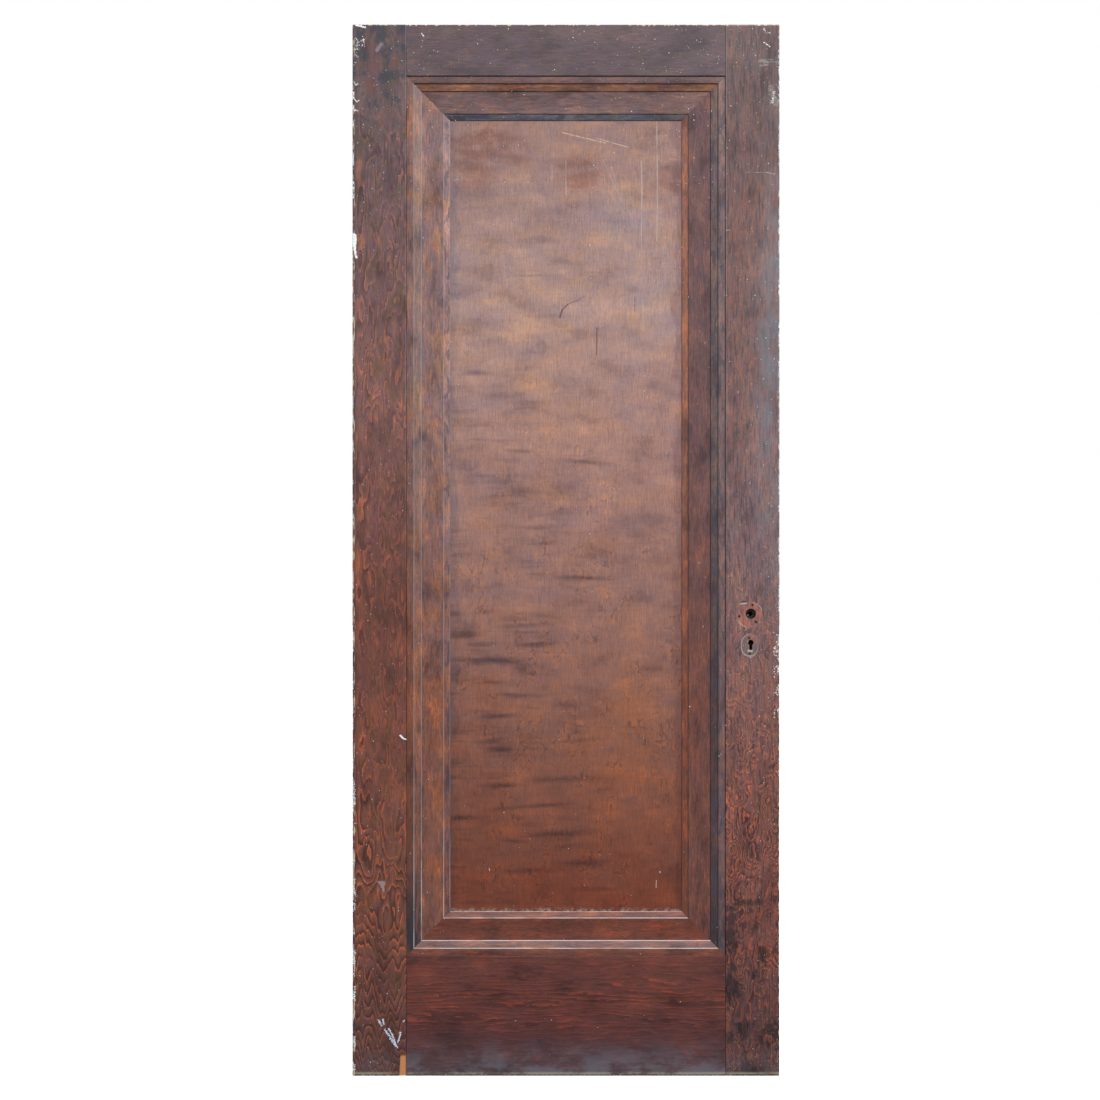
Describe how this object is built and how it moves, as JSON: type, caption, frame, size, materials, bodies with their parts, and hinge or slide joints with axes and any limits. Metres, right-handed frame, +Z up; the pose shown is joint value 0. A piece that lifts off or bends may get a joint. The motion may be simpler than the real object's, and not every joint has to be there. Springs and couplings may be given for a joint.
{
  "type": "solid wood panel door",
  "caption": "Old solid wood door leaf: stiles and rails round a flat panel, mitred stepped moulding on both faces, a mortise lock with an empty knob hole and keyhole.",
  "frame": {"origin": "middle of the hinge edge's face, at mid height and mid thickness", "axes": "+X across the width to the lock edge, the weathered front faces -Y, +Z up along the stiles"},
  "size_m": [0.813, 0.0444, 2],
  "materials": {
    "hinge_stile": "old dark varnish, worn and dusty",
    "lock_stile": "old dark varnish, worn and dusty",
    "top_rail": "old dark varnish, worn and dusty",
    "bottom_rail": "old dark varnish, worn and dusty",
    "panel": "old dark varnish, worn and dusty",
    "front_moulding_top": "old dark varnish, worn and dusty",
    "front_moulding_bottom": "old dark varnish, worn and dusty",
    "front_moulding_left": "old dark varnish, worn and dusty",
    "front_moulding_right": "old dark varnish, worn and dusty",
    "back_moulding_top": "old dark varnish, worn and dusty",
    "back_moulding_bottom": "old dark varnish, worn and dusty",
    "back_moulding_left": "old dark varnish, worn and dusty",
    "back_moulding_right": "old dark varnish, worn and dusty",
    "lock_case": "dull dark iron",
    "lock_hub": "grey worn iron",
    "lock_screw_lower": "tarnished",
    "lock_screw_upper": "tarnished"
  },
  "bodies": {
    "root": {"hinge_stile": "hinge_stile", "lock_stile": "lock_stile", "top_rail": "top_rail", "bottom_rail": "bottom_rail", "panel": "panel", "front_moulding_top": "front_moulding_top", "front_moulding_bottom": "front_moulding_bottom", "front_moulding_left": "front_moulding_left", "front_moulding_right": "front_moulding_right", "back_moulding_top": "back_moulding_top", "back_moulding_bottom": "back_moulding_bottom", "back_moulding_left": "back_moulding_left", "back_moulding_right": "back_moulding_right", "lock_case": "lock_case", "lock_hub": "lock_hub", "lock_screw_lower": "lock_screw_lower", "lock_screw_upper": "lock_screw_upper"}
  },
  "joints": []
}
